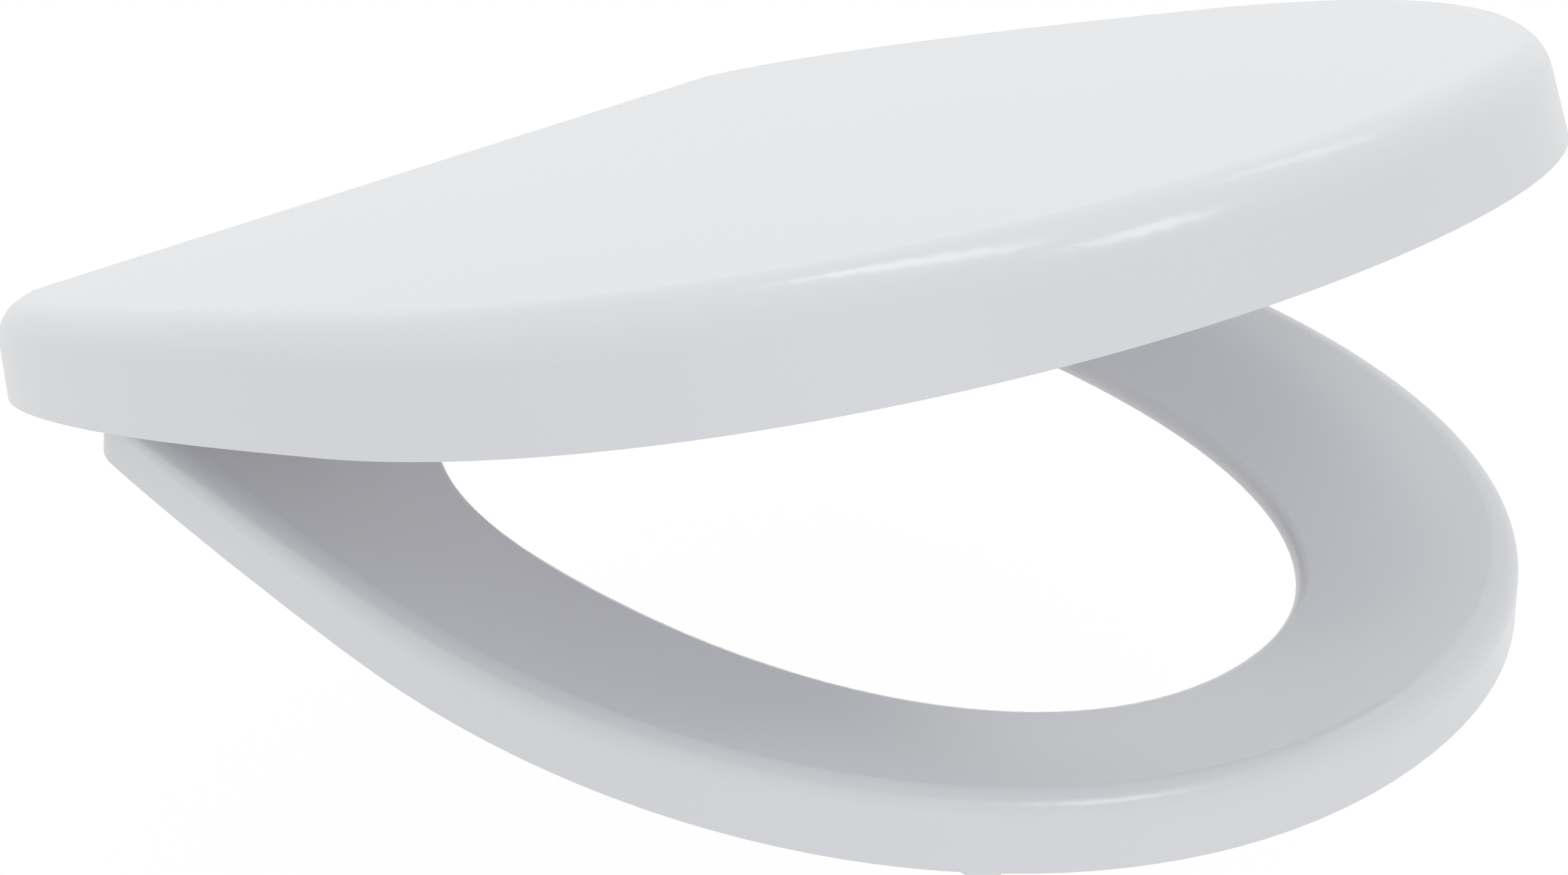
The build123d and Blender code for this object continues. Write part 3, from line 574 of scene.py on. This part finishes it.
class SEAT_OT_rods(bpy.types.Operator):
    """Models the two fixing rods with their thread and plain tips"""

    bl_idname = "seat.rods"
    bl_label = "Threaded Rods"

    def execute(self, context):
        seat = context.scene.toilet_seat
        low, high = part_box("threaded_rod_left")
        radius = (high[0] - low[0]) / 2
        core = self.core(seat.thread, radius, low[2], high[2])
        ridge = self.ridge(seat.thread, radius, low[2] + seat.thread.tip, high[2])
        deselect()
        ridge.select_set(True)
        core.select_set(True)
        context.view_layer.objects.active = core
        bpy.ops.object.join()
        bpy.ops.object.mode_set(mode="EDIT")
        bpy.ops.mesh.select_all(action="SELECT")
        bpy.ops.mesh.normals_make_consistent(inside=False)
        bpy.ops.object.mode_set(mode="OBJECT")
        bpy.ops.object.shade_smooth_by_angle(angle=SMOOTH_ANGLE)
        core.data.materials.clear()
        core.data.materials.append(turned_steel("thread_steel", seat.steel, RINGS_ON_THREAD))
        other = core.copy()
        other.data = core.data.copy()
        context.scene.collection.objects.link(other)
        for side, rod in zip(SIDES, (core, other)):
            low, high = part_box(f"threaded_rod_{side}")
            move_to(rod, ((low[0] + high[0]) / 2, (low[1] + high[1]) / 2, 0.0))
            rod.name = rod.data.name = f"fixing_rod_{side}"
            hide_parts(f"threaded_rod_{side}")
            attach(rod, "base")
        return {"FINISHED"}

    def core(self, thread, radius, bottom, top):
        """The rod down to the thread's root, with a bevelled tip."""
        deselect()
        bpy.ops.mesh.primitive_cylinder_add(
            vertices=CORE_FACETS,
            radius=radius - thread.depth,
            depth=top - bottom,
            location=(0.0, 0.0, (top + bottom) / 2),
        )
        core = bpy.context.object
        bpy.ops.object.transform_apply(location=True, rotation=True, scale=True)
        bpy.ops.object.mode_set(mode="EDIT")
        bpy.ops.mesh.select_mode(type="EDGE")
        bpy.ops.mesh.select_all(action="DESELECT")
        bpy.ops.object.mode_set(mode="OBJECT")
        corners = core.data.vertices
        for edge in core.data.edges:
            edge.select = all(corners[end].co.z < bottom + thread.chamfer for end in edge.vertices)
        bpy.ops.object.mode_set(mode="EDIT")
        bpy.ops.mesh.bevel(offset=thread.chamfer, segments=1, affect="EDGES")
        bpy.ops.object.mode_set(mode="OBJECT")
        return core

    def ridge(self, thread, radius, bottom, top):
        """The thread's ridge: a three-cornered section carried up the rod in a helix.

        The section reaches from just below the thread's root to its crest. With three even sides it is
        1.5 times as high as the radius of the circle through its corners.
        """
        corner = (thread.depth + RIDGE_SINK) * 2 / 3
        turns = math.floor((top - bottom) / thread.pitch) - 1
        deselect()
        bpy.ops.mesh.primitive_circle_add(
            vertices=3,
            radius=corner,
            location=(radius - corner, 0.0, bottom + corner),
            rotation=(math.pi / 2, math.pi / 2, 0.0),
        )
        ridge = bpy.context.object
        bpy.ops.object.transform_apply(location=True, rotation=True, scale=True)
        helix = ridge.modifiers.new("helix", "SCREW")
        helix.axis = "Z"
        helix.angle = math.tau
        helix.screw_offset = thread.pitch
        helix.iterations = turns
        helix.steps = helix.render_steps = thread.steps
        bpy.ops.object.modifier_apply(modifier=helix.name)
        bpy.ops.object.mode_set(mode="EDIT")
        bpy.ops.mesh.select_all(action="SELECT")
        bpy.ops.mesh.fill_holes(sides=3)
        bpy.ops.object.mode_set(mode="OBJECT")
        return ridge


class SEAT_OT_stage(bpy.types.Operator):
    """Sets the floor, the lamps and the camera"""

    bl_idname = "seat.stage"
    bl_label = "Stage"

    def execute(self, context):
        stage = context.scene.toilet_seat.stage
        self.floor(stage)
        self.sky(context, stage)
        self.lamps(context, stage, SOFTBOXES, LID_NEAR_EDGE, mirrored=True)
        self.lamps(context, stage, FILLS, SEAT_MIDDLE, mirrored=False)
        self.camera(context, stage)
        return {"FINISHED"}

    def floor(self, stage):
        """White of its own, with a faint share of plain paper that takes the shadows."""
        deselect()
        level = CAD_BOX[0][2] - stage.floor_gap
        bpy.ops.mesh.primitive_plane_add(size=FLOOR_SIZE, location=(0.0, 0.0, level))
        floor = bpy.context.object
        floor.name = "floor"
        shader = Shader("floor_white")
        seen = shader.ray("Camera")
        mirrored = shader.ray("Glossy") + shader.ray("Transmission")
        bounced = shader.ray("Diffuse")
        glow = seen * stage.floor_glow + mirrored * stage.floor_mirrored + bounced * stage.floor_bounce
        white = shader.node("ShaderNodeEmission", inputs={"Color": WHITE, "Strength": glow})
        paper = shader.node("ShaderNodeBsdfDiffuse", inputs={"Color": PAPER})
        floor.data.materials.append(shader.end(shader.mix(seen * stage.floor_shadow, white, paper)))

    def sky(self, context, stage):
        """Even light on the object, and plain white where the camera or a mirror looks past the floor."""
        world = bpy.data.worlds.new("studio")
        context.scene.world = world
        shader = Shader(world=world)
        seen = (shader.ray("Camera") + shader.ray("Glossy") + shader.ray("Transmission")).clamped()
        light = {"Color": rgba(stage.sky_colour), "Strength": stage.sky}
        even = shader.node("ShaderNodeBackground", inputs=light)
        white = shader.node("ShaderNodeBackground", inputs={"Color": WHITE, "Strength": 1.0})
        shader.end(shader.mix(seen, even, white))

    def lamps(self, context, stage, lamps, target, mirrored):
        """Soft lamps that face the target. Only mirrored ones leave highlights on the glossy pieces."""
        for name, (place, size) in lamps.items():
            data = bpy.data.lights.new(name, "AREA")
            data.shape = "RECTANGLE"
            data.size, data.size_y = size
            data.energy = getattr(stage, name)
            lamp = bpy.data.objects.new(name, data)
            context.scene.collection.objects.link(lamp)
            lamp.location = place
            lamp.rotation_euler = (Vector(target) - Vector(place)).to_track_quat("-Z", "Y").to_euler()
            lamp.visible_glossy = mirrored

    def camera(self, context, stage):
        """The camera, with its upright turned by roll and its place moved by slide."""
        azimuth, elevation, roll = stage.azimuth, stage.elevation, stage.roll
        back = Vector((
            math.sin(azimuth) * math.cos(elevation),
            -math.cos(azimuth) * math.cos(elevation),
            math.sin(elevation),
        ))
        level = (-back).cross(Vector((0.0, 0.0, 1.0))).normalized()
        plumb = (-back).cross(level)
        right = math.cos(roll) * level - math.sin(roll) * plumb
        down = math.sin(roll) * level + math.cos(roll) * plumb
        place = Vector(stage.aim) + back * stage.distance + right * stage.slide[0] + down * stage.slide[1]
        data = bpy.data.cameras.new("camera")
        data.sensor_width = SENSOR_WIDTH_MM
        data.lens = stage.focal_length
        data.shift_x, data.shift_y = stage.shift
        data.clip_start = CAMERA_CLIP_START
        camera = bpy.data.objects.new("camera", data)
        context.scene.collection.objects.link(camera)
        camera.matrix_world = Matrix.Translation(place) @ Matrix((right, -down, back)).transposed().to_4x4()
        context.scene.camera = camera
        context.scene.view_settings.view_transform = "Standard"


class SEAT_PT_panel(bpy.types.Panel):
    """Lists the steps that dress the seat"""

    bl_idname = "SEAT_PT_panel"
    bl_label = "Toilet Seat"
    bl_space_type = "VIEW_3D"
    bl_region_type = "UI"
    bl_category = "Toilet Seat"

    def draw(self, context):
        for step in STEPS:
            self.layout.operator(step.bl_idname)


GROUPS = (
    WhiteMoulding,
    HingePlating,
    FixingSteel,
    ConeRubber,
    GasketRubber,
    BufferRubber,
    FixingNylon,
    DamperPlastic,
    RodThread,
    SeatStage,
    ToiletSeatSettings,
)
STEPS = (
    SEAT_OT_mouldings,
    SEAT_OT_buffers,
    SEAT_OT_hinges,
    SEAT_OT_dampers,
    SEAT_OT_fixings,
    SEAT_OT_rods,
    SEAT_OT_stage,
)
CLASSES = GROUPS + STEPS + (SEAT_PT_panel,)


def register():
    for made in CLASSES:
        bpy.utils.register_class(made)
    bpy.types.Scene.toilet_seat = bpy.props.PointerProperty(type=ToiletSeatSettings)


def unregister():
    del bpy.types.Scene.toilet_seat
    for made in reversed(CLASSES):
        bpy.utils.unregister_class(made)


def main():
    register()
    bpy.ops.seat.mouldings()
    bpy.ops.seat.buffers()
    bpy.ops.seat.hinges()
    bpy.ops.seat.dampers()
    bpy.ops.seat.fixings()
    bpy.ops.seat.rods()
    bpy.ops.seat.stage()


if __name__ == "__main__":
    main()
